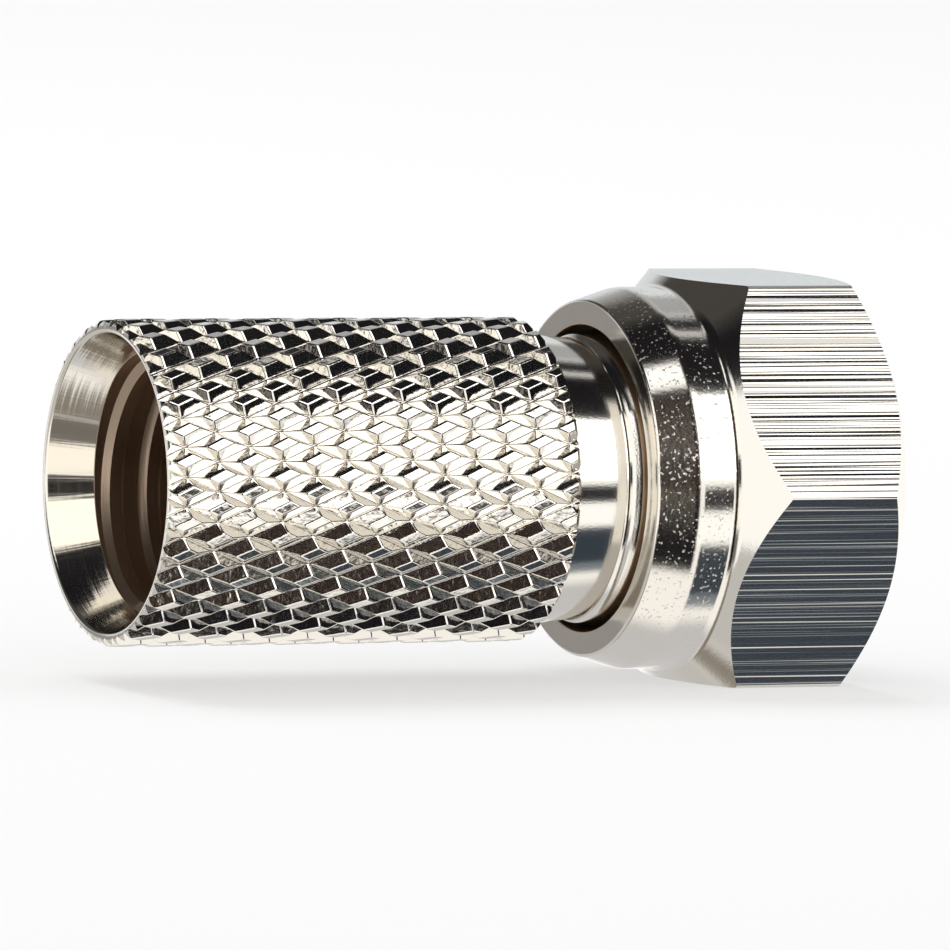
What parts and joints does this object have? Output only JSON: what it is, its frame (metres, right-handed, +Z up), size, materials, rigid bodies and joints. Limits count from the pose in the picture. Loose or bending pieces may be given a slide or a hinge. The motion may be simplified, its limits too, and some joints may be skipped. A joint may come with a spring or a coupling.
{
  "type": "coaxial cable connector",
  "caption": "Twist on coaxial connector with a knurled sleeve for the cable and a hexagon nut that turns freely and screws onto a port.",
  "frame": {"origin": "on the axis, at the ferrule's front face, which the mating port's end meets", "axes": "+X along the axis out of the nut towards the port, +Z up, square to a flat of the nut"},
  "size_m": [0.0215, 0.0126, 0.011],
  "materials": {
    "sleeve": "bright nickel plate",
    "nut": "bright nickel plate over drawn hexagon bar",
    "ferrule": "turned, nickel plate"
  },
  "bodies": {
    "sleeve": {"knurled_sleeve": "sleeve", "inner_ferrule": "ferrule"},
    "nut": {"coupling_nut": "nut"}
  },
  "joints": [
    {"name": "nut_spin", "type": "hinge", "parent": "sleeve", "child": "nut", "pos_m": [0, 0, 0], "axis": [1, 0, 0], "continuous": true}
  ]
}
